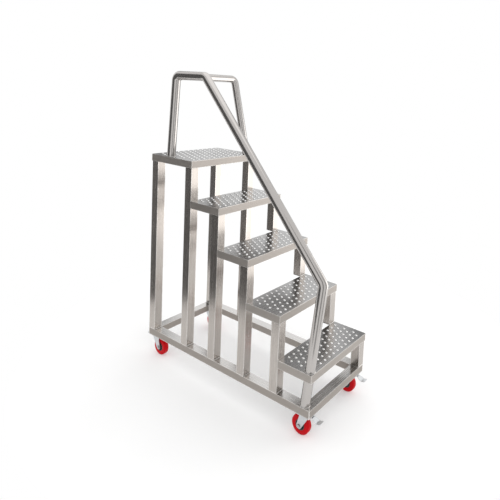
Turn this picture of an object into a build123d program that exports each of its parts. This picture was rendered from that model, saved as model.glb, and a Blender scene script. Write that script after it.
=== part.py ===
from build123d import *
import os

# Mobile step platform: welded square tube, folded tread trays, round handrail, four braked swivel castors.
# Units are mm. +X is the climber's right, -Y is the front where the first tread is, +Z is up.
# The floor is z = 0. Left and right are the climber's.

# Driving dimensions of the frame
post_side = 50.0          # square tube of the posts and width of the base tubes
tube_wall = 2.0           # wall of every square tube
base_tube_height = 40.0
flight_width = 500.0      # over the skirts of the treads
sheet = 3.0               # folded sheet of the treads
skirt_depth = 40.0
going = 220.0             # front of one tread to the front of the next
bottom_going = 200.0      # going of the lowest tread
rise = 220.0
first_rise = 175.0        # top of the base tubes to the lowest tread
platform_run = 290.0      # front face of the rear posts to front face of the platform's front posts
tread_count = 5           # the platform counts as the highest tread

# Driving dimensions of the handrail and the guard
rail_radius = 24.0
rail_wall = 2.0
weld_gap = 0.3            # seat of a curved tube against another
rail_height = 460.0       # platform top to the axis of the top bar
rail_foot_setback = 133.0     # rear face of the base to the foot of the rear leg
rail_top_setback = 163.0      # rear face of the base to the axis of the cross bar
rail_top_run = 237.0          # length of the level top bar
rail_bend_height = 605.0      # top of the base tubes to the lower bend
rail_bend_reach = 21.0        # lower bend ahead of the front face of the base
guard_foot_setback = 290.0    # rear face of the base to the foot of the right leg
front_leg_inset = 25.0        # front face of the base to the axis of the front leg at the lowest tread

# Driving dimensions of the castors
wheel_radius = 50.0
tread_width = 30.0
hub_radius = 26.0
hub_width = 40.0
boss_radius = 14.0        # part of the hub that stands out beside the tread
trail = 28.0
plate_side = 76.0
plate_thickness = 4.0
plate_inset = 2.0         # plate's edge inside the base's outer face
fork_thickness = 4.0
fork_width = 50.0
thrust_gap = 0.3          # hub to fork, fork to plate
crown_gap = 7.3           # tread of the wheel to the crown of the fork
kingpin_radius = 8.0
kingpin_head_radius = 11.0
kingpin_head_height = 4.0
race_radius = 21.0
race_height = 5.4
axle_radius = 5.0
axle_head_radius = 8.5
axle_head_height = 4.0
running_clearance = 0.05
fork_foot_radius = 13.0
pedal_length = 62.0
pedal_width = 34.0
pedal_thickness = 3.0
pedal_root = 14.0         # level stretch beside the crown
pedal_toe = 20.0          # stretch that turns up again at the tip
pedal_drop = 13.0         # crown's top to the low bend
pedal_lift = 5.0          # low bend to the tip

# Derived places
crown_low = 2 * wheel_radius + crown_gap
crown_top = crown_low + fork_thickness
plate_low = crown_top + race_height + thrust_gap
castor_height = plate_low + plate_thickness
base_top = castor_height + base_tube_height
post_x = flight_width / 2 - sheet - post_side / 2
base_half_x = post_x + post_side / 2
base_length = post_side + platform_run + going * (tread_count - 2) + bottom_going
front_y = -base_length / 2
rear_y = base_length / 2


def tread_top(i):
    """Height of tread i, counted from the platform as 0 down to the lowest."""
    return base_top + first_rise + rise * (tread_count - 1 - i)


def post_front(i):
    """Front face of post row i, counted from the rear as 0."""
    if i == 0:
        return rear_y - post_side
    if i == tread_count:
        return front_y
    return rear_y - post_side - platform_run - going * (i - 1)


def write(shape, name):
    shape.label = name
    export_step(shape, "parts/" + name + ".step")


def block(x0, x1, y0, y1, z0, z1):
    size = Box(x1 - x0, y1 - y0, z1 - z0)
    return Pos((x0 + x1) / 2, (y0 + y1) / 2, (z0 + z1) / 2) * size


def rod(start, end, radius, extra=0.0):
    """Solid round bar between two points, lengthened at both ends by extra."""
    a = Vector(*start)
    b = Vector(*end)
    along = (b - a).normalized()
    plane = Plane(origin=a - along * extra, z_dir=along)
    return extrude(plane * Circle(radius), amount=(b - a).length + 2 * extra)


def bisecting_plane(before, corner, after):
    """Mitre plane at a corner; its normal points on along the run."""
    inward = (Vector(*corner) - Vector(*before)).normalized()
    outward = (Vector(*after) - Vector(*corner)).normalized()
    return Plane(origin=corner, z_dir=inward + outward)


def tube_run(start, end, start_plane, end_plane):
    """Round tube between two cutting planes whose normals point from start to end."""
    extra = 4 * rail_radius
    bar = rod(start, end, rail_radius, extra)
    bar = bar - rod(start, end, rail_radius - rail_wall, extra)
    bar = split(bar, bisect_by=start_plane, keep=Keep.TOP)
    return split(bar, bisect_by=end_plane, keep=Keep.BOTTOM)


def square_post(x, y_front, z0, z1):
    outer = block(x - post_side / 2, x + post_side / 2, y_front, y_front + post_side, z0, z1)
    inner = block(
        x - post_side / 2 + tube_wall,
        x + post_side / 2 - tube_wall,
        y_front + tube_wall,
        y_front + post_side - tube_wall,
        z0,
        z1,
    )
    return outer - inner


def base_tube(length, depth):
    """Mitred base tube along X, outer face at y = 0, inner face at y = depth, bottom at z = 0."""
    half = length / 2
    place = Plane.YZ.offset(-half) * Pos(depth / 2, base_tube_height / 2)
    section = place * Rectangle(depth, base_tube_height)
    hollow = place * Rectangle(depth - 2 * tube_wall, base_tube_height - 2 * tube_wall)
    bar = extrude(section, amount=length) - extrude(hollow, amount=length)
    left_cut = Plane(origin=(-half, 0, 0), z_dir=(1, -1, 0))
    right_cut = Plane(origin=(half, 0, 0), z_dir=(-1, -1, 0))
    bar = split(bar, bisect_by=left_cut, keep=Keep.TOP)
    return split(bar, bisect_by=right_cut, keep=Keep.TOP)


def tray(y_rear, y_front, top):
    """Folded tread: flat top with a skirt on all four sides, open below."""
    half = flight_width / 2
    outer = block(-half, half, y_front, y_rear, top - skirt_depth, top)
    inner = block(
        -half + sheet, half - sheet, y_front + sheet, y_rear - sheet, top - skirt_depth, top - sheet
    )
    return outer - inner


os.makedirs("parts", exist_ok=True)

# Base frame
front_tube = Pos(0, front_y, castor_height) * base_tube(2 * base_half_x, post_side)
rear_tube = Rot(0, 0, 180) * front_tube
side_tube = Pos(base_half_x, 0, castor_height) * Rot(0, 0, 90) * base_tube(base_length, post_side)
write(front_tube, "base_front")
write(rear_tube, "base_rear")
write(side_tube, "base_right")
write(Rot(0, 0, 180) * side_tube, "base_left")

# Posts: full height on the left, and under the platform on the right
for i in range(tread_count):
    under = tread_top(max(i - 1, 0)) - sheet
    write(square_post(-post_x, post_front(i), base_top, under), "post_left_" + str(i + 1))
    foot = base_top if i < 2 else tread_top(i)
    write(square_post(post_x, post_front(i), foot, under), "post_right_" + str(i + 1))
lowest = tread_count - 1
write(
    square_post(post_x, post_front(tread_count), base_top, tread_top(lowest) - sheet),
    "post_right_" + str(tread_count + 1),
)

# Handrail on the left and guard across the platform
platform_top = tread_top(0)
bar_height = platform_top + rail_height
rail_foot = (-post_x, rear_y - rail_foot_setback, platform_top)
rail_rear = (-post_x, rear_y - rail_top_setback, bar_height)
rail_front = (-post_x, rail_rear[1] - rail_top_run, bar_height)
rail_bend = (-post_x, front_y - rail_bend_reach, base_top + rail_bend_height)
leg_run = (front_y + front_leg_inset - rail_bend[1]) / (rail_bend[2] - tread_top(lowest))
leg_foot = (-post_x, rail_bend[1] + leg_run * (rail_bend[2] - base_top), base_top)
guard_corner = (post_x, rail_rear[1], bar_height)
guard_foot = (post_x, rear_y - guard_foot_setback, platform_top)

on_platform = Plane(origin=(0, 0, platform_top), z_dir=(0, 0, 1))
under_platform = Plane(origin=(0, 0, platform_top), z_dir=(0, 0, -1))
on_base = Plane(origin=(0, 0, base_top), z_dir=(0, 0, -1))
rear_mitre = bisecting_plane(rail_foot, rail_rear, rail_front)
top_mitre = bisecting_plane(rail_rear, rail_front, rail_bend)
low_mitre = bisecting_plane(rail_front, rail_bend, leg_foot)
guard_mitre = bisecting_plane(rail_rear, guard_corner, guard_foot)

write(tube_run(rail_foot, rail_rear, on_platform, rear_mitre), "rail_rear_leg")
write(tube_run(rail_rear, rail_front, rear_mitre, top_mitre), "rail_top_bar")
write(tube_run(rail_front, rail_bend, top_mitre, low_mitre), "rail_slope")
write(tube_run(rail_bend, leg_foot, low_mitre, on_base), "rail_front_leg")
write(tube_run(guard_corner, guard_foot, guard_mitre, under_platform), "guard_right_leg")

bar_start = Plane(origin=rail_rear, z_dir=(1, 0, 0))
guard_bar = tube_run(rail_rear, guard_corner, bar_start, guard_mitre)
guard_bar = guard_bar - rod(rail_foot, rail_rear, rail_radius + weld_gap, rail_radius)
guard_bar = guard_bar - rod(rail_rear, rail_front, rail_radius + weld_gap, rail_radius)
write(max(guard_bar.solids(), key=lambda s: s.volume), "guard_bar")

# Treads; the lowest has a hole for the front leg of the handrail
leg_hole = rod(rail_bend, leg_foot, rail_radius + weld_gap)
for i in range(tread_count):
    if i == 0:
        y_rear = rear_y + sheet
    else:
        y_rear = post_front(i)
    tread = tray(y_rear, post_front(i + 1) - sheet, tread_top(i))
    if i == lowest:
        tread = tread - leg_hole
    write(tread, "tread_" + str(tread_count - i))

# Castor, drawn with its swivel axis at x = 0, y = 0, its wheel trailing to +Y and its pedal towards -Y
leg_in = hub_width / 2 + thrust_gap
leg_out = leg_in + fork_thickness


def castor_plate():
    plate = block(-plate_side / 2, plate_side / 2, -plate_side / 2, plate_side / 2, plate_low, castor_height)
    pin_low = crown_low - thrust_gap
    pin = Pos(0, 0, (pin_low + plate_low) / 2) * Cylinder(kingpin_radius, plate_low - pin_low)
    head = Pos(0, 0, pin_low - kingpin_head_height / 2) * Cylinder(kingpin_head_radius, kingpin_head_height)
    return plate + pin + head


def castor_fork():
    bore = kingpin_radius + running_clearance
    crown = block(-leg_out, leg_out, -fork_width / 2, fork_width / 2, crown_low, crown_top)
    race_top = plate_low - thrust_gap
    race = Pos(0, 0, (crown_top + race_top) / 2) * Cylinder(race_radius, race_top - crown_top)
    body = crown + race
    foot = fork_foot_radius
    side = make_hull(
        [
            Edge.make_line((-fork_width / 2, crown_top), (fork_width / 2, crown_top)),
            Edge.make_line((trail + foot, wheel_radius + foot / 2), (trail + foot, wheel_radius - foot / 2)),
            Edge.make_line((trail + foot / 2, wheel_radius - foot), (trail - foot / 2, wheel_radius - foot)),
            Edge.make_line((trail - foot, wheel_radius - foot / 2), (trail - foot, wheel_radius)),
        ]
    )
    for x in (-leg_out, leg_in):
        body = body + extrude(Plane.YZ.offset(x) * side, amount=fork_thickness)
    body = body - Pos(0, 0, castor_height / 2) * Cylinder(bore, castor_height)
    axle_hole = Pos(0, trail, wheel_radius) * Rot(0, 90, 0) * Cylinder(axle_radius, 4 * leg_out)
    return body - axle_hole


def castor_axle():
    shaft = Rot(0, 90, 0) * Cylinder(axle_radius, 2 * leg_out)
    for side in (-1, 1):
        start = leg_out if side > 0 else -leg_out - axle_head_height
        head = Plane.YZ.offset(start) * RegularPolygon(axle_head_radius, 6)
        shaft = shaft + extrude(head, amount=axle_head_height)
    return Pos(0, trail, wheel_radius) * shaft


def castor_hub():
    hub = Rot(0, 90, 0) * Cylinder(hub_radius, tread_width) + Rot(0, 90, 0) * Cylinder(boss_radius, hub_width)
    hub = hub - Rot(0, 90, 0) * Cylinder(axle_radius + running_clearance, hub_width)
    return Pos(0, trail, wheel_radius) * hub


def castor_tyre():
    band = Rot(0, 90, 0) * Cylinder(wheel_radius, tread_width)
    band = band - Rot(0, 90, 0) * Cylinder(hub_radius, tread_width)
    return Pos(0, trail, wheel_radius) * band


def castor_pedal():
    """Brake pedal: a bent tab that leaves the crown level, dips and turns up at its tip."""
    root = -fork_width / 2
    top_line = [
        (root, crown_top),
        (root - pedal_root, crown_top),
        (root - pedal_length + pedal_toe, crown_top - pedal_drop),
        (root - pedal_length, crown_top - pedal_drop + pedal_lift),
    ]
    under_line = [(y, z - pedal_thickness) for y, z in reversed(top_line)]
    profile = make_face(Polyline(*top_line, *under_line, close=True))
    return extrude(Plane.YZ.offset(-pedal_width / 2) * profile, amount=pedal_width)


pieces = {
    "plate": castor_plate(),
    "fork": castor_fork(),
    "axle": castor_axle(),
    "hub": castor_hub(),
    "tyre": castor_tyre(),
    "pedal": castor_pedal(),
}
castor_x = base_half_x - plate_inset - plate_side / 2
castor_y = base_length / 2 - plate_inset - plate_side / 2
corners = {
    "front_left": (-castor_x, -castor_y, 0),
    "front_right": (castor_x, -castor_y, 0),
    "rear_left": (-castor_x, castor_y, 180),
    "rear_right": (castor_x, castor_y, 180),
}
for corner, (x, y, turn) in corners.items():
    for piece, shape in pieces.items():
        write(Pos(x, y, 0) * Rot(0, 0, turn) * shape, piece + "_" + corner)
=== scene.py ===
# %% [markdown]
# # A rolling step platform in brushed stainless steel
# The real object is a small flight of four treads and a platform, welded from square tube, on four
# castors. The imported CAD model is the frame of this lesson: it has the true shapes and sizes. Each step
# below adds one kind of finish or fitting to it, and every place is worked out from the frame. Lengths
# are in metres, +Z is up and -Y is the front.

import math

import bmesh
import bpy
from mathutils import Matrix, Vector


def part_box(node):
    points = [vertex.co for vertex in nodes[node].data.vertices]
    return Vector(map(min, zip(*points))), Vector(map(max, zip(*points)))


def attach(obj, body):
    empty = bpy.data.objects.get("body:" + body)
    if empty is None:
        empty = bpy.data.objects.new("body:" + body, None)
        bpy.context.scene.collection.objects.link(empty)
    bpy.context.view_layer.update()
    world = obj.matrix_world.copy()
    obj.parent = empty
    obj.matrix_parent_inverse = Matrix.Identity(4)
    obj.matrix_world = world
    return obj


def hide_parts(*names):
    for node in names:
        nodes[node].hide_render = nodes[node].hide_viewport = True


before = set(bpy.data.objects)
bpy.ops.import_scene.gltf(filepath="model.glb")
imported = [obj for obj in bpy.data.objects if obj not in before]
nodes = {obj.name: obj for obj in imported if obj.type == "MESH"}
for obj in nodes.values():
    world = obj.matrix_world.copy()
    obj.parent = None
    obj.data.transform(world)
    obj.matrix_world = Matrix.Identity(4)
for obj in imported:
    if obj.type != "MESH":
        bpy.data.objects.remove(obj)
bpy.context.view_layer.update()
CORNERS = ("front_left", "front_right", "rear_left", "rear_right")
ROOT = "frame"

# %% [markdown]
# ## Building node trees in code
# A material could be wired by hand in the shader editor. Code is chosen here because each steel differs
# from the next only in a few numbers. The first helper starts a group. The others add one node each and
# give back the socket to wire onwards.

# %% Node helpers


def new_shader_group(name, inputs, outputs):
    tree = bpy.data.node_groups.new(name, "ShaderNodeTree")
    for label, kind, value in inputs:
        socket = tree.interface.new_socket(label, in_out="INPUT", socket_type=kind)
        socket.default_value = value
    for label, kind in outputs:
        tree.interface.new_socket(label, in_out="OUTPUT", socket_type=kind)
    return tree, tree.nodes.new("NodeGroupInput"), tree.nodes.new("NodeGroupOutput")


def add_math(tree, operation, a, b=None, c=None, clamp=False):
    """Math node. Each of a, b and c is a socket or a number."""
    node = tree.nodes.new("ShaderNodeMath")
    node.operation = operation
    node.use_clamp = clamp
    for index, value in enumerate((a, b, c)):
        if value is None:
            continue
        if isinstance(value, (int, float)):
            node.inputs[index].default_value = value
        else:
            tree.links.new(value, node.inputs[index])
    return node.outputs[0]


def add_noise(tree, vector, scale, detail=3.0, roughness=0.5):
    node = tree.nodes.new("ShaderNodeTexNoise")
    node.inputs["Scale"].default_value = scale
    node.inputs["Detail"].default_value = detail
    node.inputs["Roughness"].default_value = roughness
    tree.links.new(vector, node.inputs["Vector"])
    return node.outputs[0]


def add_mix(tree, factor, first, second):
    """Colour mix. Each value is a socket, a number or a colour."""
    node = tree.nodes.new("ShaderNodeMix")
    node.data_type = "RGBA"
    for socket, value in (
        (node.inputs["Factor"], factor),
        (node.inputs["A"], first),
        (node.inputs["B"], second),
    ):
        if hasattr(value, "links"):
            tree.links.new(value, socket)
        else:
            socket.default_value = value
    return node.outputs["Result"]


def object_coordinates(tree):
    return tree.nodes.new("ShaderNodeTexCoord").outputs["Object"]


print("node helpers: group, math, noise, mix, object coordinates")

# %% [markdown]
# ## Brushing lines
# A belt grinder leaves fine parallel lines along each tube. They could be an image, or noise that is
# stretched in one direction. Noise on Object coordinates needs no image and keeps its scale on every
# tube, so it is used here. One group draws it, and each material gives it a direction, because posts are
# brushed upwards and treads sideways.

# %% Brushed metal group


def brushed_group():
    """Brushing lines, slow stains and a bump height, all from Object coordinates."""
    tree, gin, gout = new_shader_group(
        "brushed_metal",
        [
            ("Stretch", "NodeSocketVector", (1.0, 1.0, 1.0)),
            ("Grain", "NodeSocketFloat", 0.25),
            ("Stain", "NodeSocketFloat", 0.2),
        ],
        [("Shade", "NodeSocketFloat"), ("Roughness", "NodeSocketFloat"), ("Height", "NodeSocketFloat")],
    )
    coord = object_coordinates(tree)
    stretched = tree.nodes.new("ShaderNodeVectorMath")
    stretched.operation = "MULTIPLY"
    tree.links.new(coord, stretched.inputs[0])
    tree.links.new(gin.outputs["Stretch"], stretched.inputs[1])
    fine = add_noise(tree, stretched.outputs[0], 1.0, 4.0, 0.65)
    broad = add_noise(tree, stretched.outputs[0], 0.28, 2.0)
    stain = add_noise(tree, coord, 5.0, 4.0, 0.6)
    lines = add_math(tree, "MULTIPLY_ADD", fine, 0.65, add_math(tree, "MULTIPLY", broad, 0.35))
    swing = add_math(tree, "MULTIPLY", add_math(tree, "SUBTRACT", lines, 0.5), gin.outputs["Grain"])
    cloud = add_math(tree, "MULTIPLY", add_math(tree, "SUBTRACT", stain, 0.5), gin.outputs["Stain"])
    shade = add_math(tree, "ADD", add_math(tree, "ADD", swing, cloud), 0.5, clamp=True)
    rough = add_math(tree, "MULTIPLY_ADD", lines, 0.22, add_math(tree, "MULTIPLY", cloud, 0.5))
    tree.links.new(shade, gout.inputs["Shade"])
    tree.links.new(rough, gout.inputs["Roughness"])
    tree.links.new(lines, gout.inputs["Height"])
    return tree


BRUSHED = brushed_group()
print("group", BRUSHED.name, "with", len(BRUSHED.nodes), "nodes")

# %% [markdown]
# ## Painted edge highlights and painted shade in hollows
# A painted highlight brightens the outer edges of steel, and painted shade darkens its corners and hollows.
# Both masks could be painted. Here the shader finds them: an edge is where a rounded normal leaves the
# plain one, and a corner is where little light gets in.

# %% Edge highlight and hollow shade group
# Reach of the rounded normal that finds edges for the painted highlight, and where that highlight starts
# and is full.
EDGE_HIGHLIGHT_REACH = 0.0050
EDGE_STARTS = 0.99
EDGE_FULL = 0.92


def edge_and_shade_group():
    """A painted highlight on edges and painted shade in the hollows, from a rounded normal and the
    occlusion.
    """
    tree, gin, gout = new_shader_group(
        "edge_highlight_and_hollow_shade",
        [("Reach", "NodeSocketFloat", 0.02)],
        [("Edge", "NodeSocketFloat"), ("HollowShade", "NodeSocketFloat")],
    )
    rounded = tree.nodes.new("ShaderNodeBevel")
    rounded.samples = 4
    rounded.inputs["Radius"].default_value = EDGE_HIGHLIGHT_REACH
    plain = tree.nodes.new("ShaderNodeNewGeometry").outputs["Normal"]
    agree = tree.nodes.new("ShaderNodeVectorMath")
    agree.operation = "DOT_PRODUCT"
    tree.links.new(rounded.outputs[0], agree.inputs[0])
    tree.links.new(plain, agree.inputs[1])
    edge = tree.nodes.new("ShaderNodeMapRange")
    edge.inputs["From Min"].default_value = EDGE_STARTS
    edge.inputs["From Max"].default_value = EDGE_FULL
    tree.links.new(agree.outputs["Value"], edge.inputs["Value"])
    hollow = tree.nodes.new("ShaderNodeAmbientOcclusion")
    hollow.samples = 4
    tree.links.new(gin.outputs["Reach"], hollow.inputs["Distance"])
    hollow_shade = add_math(tree, "SUBTRACT", 1.0, hollow.outputs["AO"], clamp=True)
    tree.links.new(edge.outputs["Result"], gout.inputs["Edge"])
    tree.links.new(hollow_shade, gout.inputs["HollowShade"])
    return tree


EDGE_AND_SHADE = edge_and_shade_group()
print("group", EDGE_AND_SHADE.name, "with", len(EDGE_AND_SHADE.nodes), "nodes")

# %% [markdown]
# ## Brushed steel
# Steel is one shader with Metallic at 1. Its colour comes from both groups, with their painted highlight
# and painted shade, and its roughness from the brushing lines. The upright faces of the treads and base
# tubes get
# a colour of their own and more roughness: that colour is painted light and shade by face direction. It is
# chosen by the surface's normal, which belongs to the object and not to the camera.

# %% Steel builder
LINE_STRETCH = 100
SIDE_SHADE = 0.45
SIDE_ROUGHNESS = 0.30
BRUSH_DEPTH = 0.0004
# Painted shade in hollows, its share and colour, and the colour of the painted highlight on edges.
HOLLOW_SHADE_SHARE = 0.45
HOLLOW_SHADE_TONE = (0.10, 0.09, 0.08, 1.0)
EDGE_HIGHLIGHT_TONE = (0.96, 0.95, 0.93, 1.0)


def start_material(name):
    material = bpy.data.materials.new(name)
    material.use_nodes = True
    tree = material.node_tree
    return material, tree, tree.nodes["Principled BSDF"]


def use_group(tree, group):
    node = tree.nodes.new("ShaderNodeGroup")
    node.node_tree = group
    return node


def add_bump(tree, bsdf, height, strength, distance):
    bump = tree.nodes.new("ShaderNodeBump")
    bump.inputs["Strength"].default_value = strength
    bump.inputs["Distance"].default_value = distance
    tree.links.new(height, bump.inputs["Height"])
    tree.links.new(bump.outputs["Normal"], bsdf.inputs["Normal"])


def paint_side_shading(tree, shade, tone, gloss, sides):
    """Gives upright faces the colour in sides, painted light and shade by face direction, and more
    roughness.
    """
    facing = tree.nodes.new("ShaderNodeSeparateXYZ")
    tree.links.new(tree.nodes.new("ShaderNodeNewGeometry").outputs["Normal"], facing.inputs[0])
    level = add_math(tree, "ABSOLUTE", facing.outputs["Z"])
    upright = add_math(tree, "SUBTRACT", 1.0, level)
    # Painted light and shade: upright faces take the sides colour, and flat tops keep tone.
    side = add_mix(tree, shade, (*(SIDE_SHADE * c for c in sides), 1.0), (*sides, 1.0))
    rougher = add_math(tree, "ADD", gloss, add_math(tree, "MULTIPLY", upright, SIDE_ROUGHNESS))
    return add_mix(tree, level, side, tone), rougher


def steel(name, direction, dark, light, rough=0.24, grain=0.9, bump=0.12, lines_per_metre=900.0,
          sides=None, anisotropic=0.35, edge_highlight=0.85):
    """Brushed steel, dark to light, lines along direction; sides paints shading on upright faces,
    edge_highlight a highlight on edges.
    """
    material, tree, bsdf = start_material(name)
    lines = use_group(tree, BRUSHED)
    along = lines_per_metre / LINE_STRETCH
    stretch = [along if axis == direction else lines_per_metre for axis in "XYZ"]
    lines.inputs["Stretch"].default_value = stretch
    lines.inputs["Grain"].default_value = grain
    edge_and_shade = use_group(tree, EDGE_AND_SHADE)
    tone = add_mix(tree, lines.outputs["Shade"], (*dark, 1.0), (*light, 1.0))
    gloss = add_math(tree, "ADD", lines.outputs["Roughness"], rough - 0.1)
    if sides is not None:
        tone, gloss = paint_side_shading(tree, lines.outputs["Shade"], tone, gloss, sides)
    # Painted shade darkens the hollows, then a painted highlight brightens the edges.
    hollow_shade = add_math(tree, "MULTIPLY", edge_and_shade.outputs["HollowShade"], HOLLOW_SHADE_SHARE)
    tone = add_mix(tree, hollow_shade, tone, HOLLOW_SHADE_TONE)
    highlight = add_math(tree, "MULTIPLY", edge_and_shade.outputs["Edge"], edge_highlight)
    tone = add_mix(tree, highlight, tone, EDGE_HIGHLIGHT_TONE)
    tree.links.new(tone, bsdf.inputs["Base Color"])
    tree.links.new(gloss, bsdf.inputs["Roughness"])
    bsdf.inputs["Metallic"].default_value = 1.0
    bsdf.inputs["Anisotropic"].default_value = anisotropic
    if bump:
        add_bump(tree, bsdf, lines.outputs["Height"], bump, BRUSH_DEPTH)
    return material


print("steel builder: lines", LINE_STRETCH, "times longer than wide")

# %% [markdown]
# ## Zinc and moulded plastic
# The castors' forks are pressed steel under zinc, which sets in small dull flakes. An even grey would look
# like paint, so cell noise and soft noise mottle it. The wheels are red polyurethane, cast on a dark
# moulded core. Tyre and core need only a fine skin and some scuffs.

# %% Zinc and plastic builders
ZINC_DEPTH = 0.0004
SKIN_DEPTH = 0.0002


def zinc(name, tone, rough=0.3):
    """Zinc plating, mottled instead of brushed."""
    material, tree, bsdf = start_material(name)
    coord = object_coordinates(tree)
    flakes = tree.nodes.new("ShaderNodeTexVoronoi")
    flakes.inputs["Scale"].default_value = 260.0
    tree.links.new(coord, flakes.inputs["Vector"])
    mottle = add_noise(tree, coord, 60.0, 4.0, 0.6)
    edge_and_shade = use_group(tree, EDGE_AND_SHADE)
    edge_and_shade.inputs["Reach"].default_value = 0.008
    flaked = add_math(tree, "MULTIPLY", flakes.outputs["Distance"], 0.25)
    level = add_math(tree, "ADD", flaked, add_math(tree, "MULTIPLY", mottle, 0.6))
    dark = tuple(0.62 * c for c in tone)
    colour = add_mix(tree, level, (*dark, 1.0), (*tone, 1.0))
    # Painted shade darkens the hollows.
    hollow_shade = add_math(tree, "MULTIPLY", edge_and_shade.outputs["HollowShade"], 0.6)
    colour = add_mix(tree, hollow_shade, colour, (0.05, 0.05, 0.05, 1.0))
    tree.links.new(colour, bsdf.inputs["Base Color"])
    tree.links.new(add_math(tree, "MULTIPLY_ADD", mottle, 0.25, rough - 0.1), bsdf.inputs["Roughness"])
    bsdf.inputs["Metallic"].default_value = 0.9
    add_bump(tree, bsdf, mottle, 0.15, ZINC_DEPTH)
    return material


def moulded(name, dark, light, rough, scuff, shine=0.5):
    """Cast or moulded plastic with a fine skin and scuffs."""
    material, tree, bsdf = start_material(name)
    coord = object_coordinates(tree)
    skin = add_noise(tree, coord, 900.0, 2.0)
    patches = add_noise(tree, coord, 45.0, 5.0, 0.65)
    edge_and_shade = use_group(tree, EDGE_AND_SHADE)
    edge_and_shade.inputs["Reach"].default_value = 0.006
    colour = add_mix(tree, patches, (*dark, 1.0), (*light, 1.0))
    # Painted shade darkens the hollows.
    hollow_shade = add_math(tree, "MULTIPLY", edge_and_shade.outputs["HollowShade"], 0.5)
    colour = add_mix(tree, hollow_shade, colour, (0.03, 0.02, 0.02, 1.0))
    tree.links.new(colour, bsdf.inputs["Base Color"])
    tree.links.new(add_math(tree, "MULTIPLY_ADD", patches, scuff, rough), bsdf.inputs["Roughness"])
    bsdf.inputs["Specular IOR Level"].default_value = shine
    add_bump(tree, bsdf, skin, 0.08, SKIN_DEPTH)
    return material


print("zinc and plastic builders ready")

# %% [markdown]
# ## The materials
# Each finish of the real object is one entry below. Tubes are named by the way they lie, because the
# brushing runs along each tube. The platform's sheet is darker than the treads', as painted shade, and the
# buttons are lighter than the sheet, as a painted highlight. The handrail is satin: its lines are too fine
# to see, so they are turned down and its edges get no painted highlight.

# %% Materials
BASE_DARK = (0.50, 0.49, 0.48)
BASE_LIGHT = (0.90, 0.88, 0.86)
# Colours of upright faces, painted light and shade by face direction.
BASE_SIDE_SHADING = (0.57, 0.522, 0.480)
TREAD_SIDE_SHADING = (0.62, 0.574, 0.533)
MAT = {
    "post": steel("steel_brushed_upright", "Z", (0.24, 0.218, 0.202), (0.74, 0.690, 0.645)),
    "side": steel("steel_brushed_lengthwise", "Y", BASE_DARK, BASE_LIGHT, grain=0.55, sides=BASE_SIDE_SHADING),
    "cross": steel("steel_brushed_crosswise", "X", BASE_DARK, BASE_LIGHT, grain=0.55, sides=BASE_SIDE_SHADING),
    "tread": steel("steel_tread_sheet", "X", (0.28, 0.278, 0.276), (0.60, 0.597, 0.594),
                   sides=TREAD_SIDE_SHADING),
    # The platform sheet is the treads' steel made darker: painted shade.
    "platform": steel("steel_platform_sheet_painted_shade", "X", (0.15, 0.149, 0.147), (0.42, 0.417, 0.414),
                      sides=TREAD_SIDE_SHADING),
    # The buttons are the sheet's steel made lighter: a painted highlight.
    "button": steel("steel_button_painted_highlight", "X", (0.72, 0.72, 0.72), (0.94, 0.94, 0.94), rough=0.12,
                    grain=0.3),
    "rail": steel("steel_satin_tube", "Z", (0.38, 0.36, 0.345), (0.62, 0.595, 0.575), rough=0.15,
                  grain=0.12, bump=0.0, lines_per_metre=8.0, anisotropic=0.0, edge_highlight=0.0),
    "weld": steel("steel_weld_bead", "X", (0.30, 0.28, 0.26), (0.62, 0.60, 0.58), rough=0.34, grain=0.5),
    "zinc": zinc("zinc_pressed_steel", (0.80, 0.82, 0.84)),
    "bolt": zinc("zinc_bolt", (0.62, 0.63, 0.64), 0.26),
    "pedal": zinc("zinc_pedal", (0.92, 0.94, 0.96), 0.30),
    "core": moulded("wheel_core_moulding", (0.030, 0.040, 0.040), (0.055, 0.070, 0.068), 0.38, 0.2),
    "tyre": moulded("wheel_polyurethane", (0.44, 0.001, 0.004), (0.60, 0.002, 0.008), 0.30, 0.16, 0.10),
}
print(len(MAT), "materials:", ", ".join(MAT))

# %% [markdown]
# ## The CAD nodes
# Tubes, treads and castor forks already have their shape, so they only get a material. Drawn tube and
# folded sheet never have a sharp edge. A Bevel modifier rounds their edges, so that they catch the light,
# and it leaves the CAD mesh as it is.

# %% Finish the CAD nodes
FINISHES = (
    ("post_", "post", 0.0030, 3),
    ("base_left", "side", 0.0030, 3),
    ("base_right", "side", 0.0030, 3),
    ("base_front", "cross", 0.0030, 3),
    ("base_rear", "cross", 0.0030, 3),
    ("tread_5", "platform", 0.0026, 3),
    ("tread_", "tread", 0.0026, 3),
    ("plate_", "zinc", 0.0008, 2),
    ("fork_", "zinc", 0.0008, 2),
    ("axle_", "bolt", 0.0006, 2),
)


def round_edges(obj, width, segments):
    """Bevel modifier on the edges that are sharper than 50 degrees."""
    mod = obj.modifiers.new("rounded_edges", "BEVEL")
    mod.width = width
    mod.segments = segments
    mod.limit_method = "ANGLE"
    mod.angle_limit = math.radians(50)


def finish_node(name, material, width, segments):
    obj = nodes[name]
    obj.data.materials.clear()
    obj.data.materials.append(material)
    round_edges(obj, width, segments)


finished = []
for name in nodes:
    for start, material, width, segments in FINISHES:
        if name.startswith(start):
            finish_node(name, MAT[material], width, segments)
            finished.append(name)
            break
print(len(finished), "CAD nodes keep their shape,", len(nodes) - len(finished), "are replaced below")

# %% Mesh helpers


def place_object(name, mesh):
    obj = bpy.data.objects.new(name, mesh)
    bpy.context.scene.collection.objects.link(obj)
    return obj


def hand_over(obj, body=ROOT):
    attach(obj, body)


def add_piece(name, mesh, material, body=ROOT):
    mesh.materials.append(material)
    obj = place_object(name, mesh)
    hand_over(obj, body)
    return obj


def smooth(mesh, angle):
    """Smooth shading, with edges sharper than the angle in degrees kept sharp."""
    mesh.polygons.foreach_set("use_smooth", [True] * len(mesh.polygons))
    mesh.set_sharp_from_angle(angle=math.radians(angle))


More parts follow.
